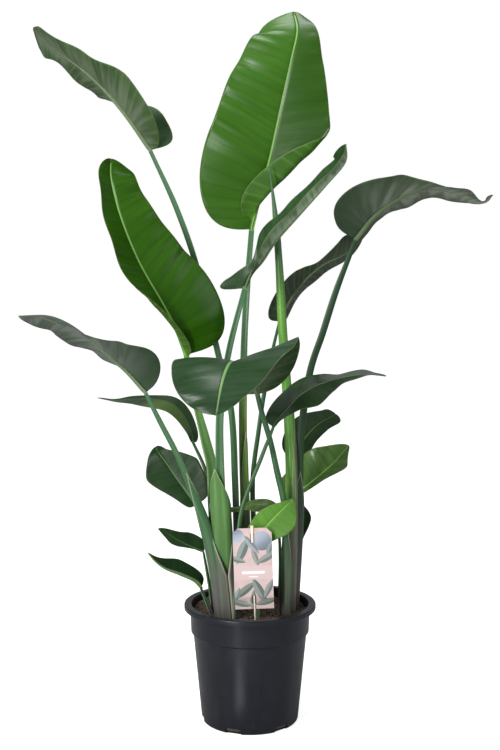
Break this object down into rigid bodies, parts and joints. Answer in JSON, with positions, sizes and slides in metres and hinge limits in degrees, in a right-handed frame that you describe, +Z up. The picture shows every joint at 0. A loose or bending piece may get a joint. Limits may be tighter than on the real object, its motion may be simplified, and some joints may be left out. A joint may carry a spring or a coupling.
{
  "type": "potted strelitzia",
  "caption": "Tall potted strelitzia: broad paddle leaves on long upright stalks in fans, a rolled new leaf, and a bare plant label on a stick, in a round black nursery pot.",
  "frame": {"origin": "middle of the flat underside of the pot, on the surface that it stands on", "axes": "+Z up along the pot axis; -Y is the front, where the label stands; +X to the right as seen from the front"},
  "size_m": [0.8349, 0.493, 1.2901],
  "materials": {
    "pot": "black moulded plastic with a soft sheen",
    "soil": "dark crumbly peat potting soil",
    "card": "printed thin plastic card, pale pink with grey and dark green shapes",
    "stick": "pale bare wood",
    "leaf_bright": "bright green waxy leaf with a satin sheen",
    "leaf_dark": "dark blue-green waxy leaf with a satin sheen and a greyer underside",
    "leaf_rolled": "fresh green rolled leaf"
  },
  "bodies": {
    "root": {"pot": "pot", "soil": "soil", "label": "card", "stick": "stick", "leaf_tall_centre": "leaf_bright", "leaf_left": "leaf_bright", "leaf_upper_left": "leaf_dark", "leaf_upper_right": "leaf_dark", "leaf_narrow": "leaf_dark", "leaf_lower_left": "leaf_dark", "leaf_thin_left": "leaf_dark", "leaf_front": "leaf_dark", "leaf_right_middle": "leaf_dark", "leaf_behind_right": "leaf_dark", "leaf_right_back": "leaf_dark", "leaf_right_glossy": "leaf_bright", "leaf_left_round": "leaf_dark", "leaf_low_left": "leaf_dark", "leaf_lowest_left": "leaf_dark", "leaf_small_front": "leaf_dark", "leaf_small_bright": "leaf_bright", "leaf_small_back": "leaf_dark", "leaf_spear": "leaf_rolled"}
  },
  "joints": []
}
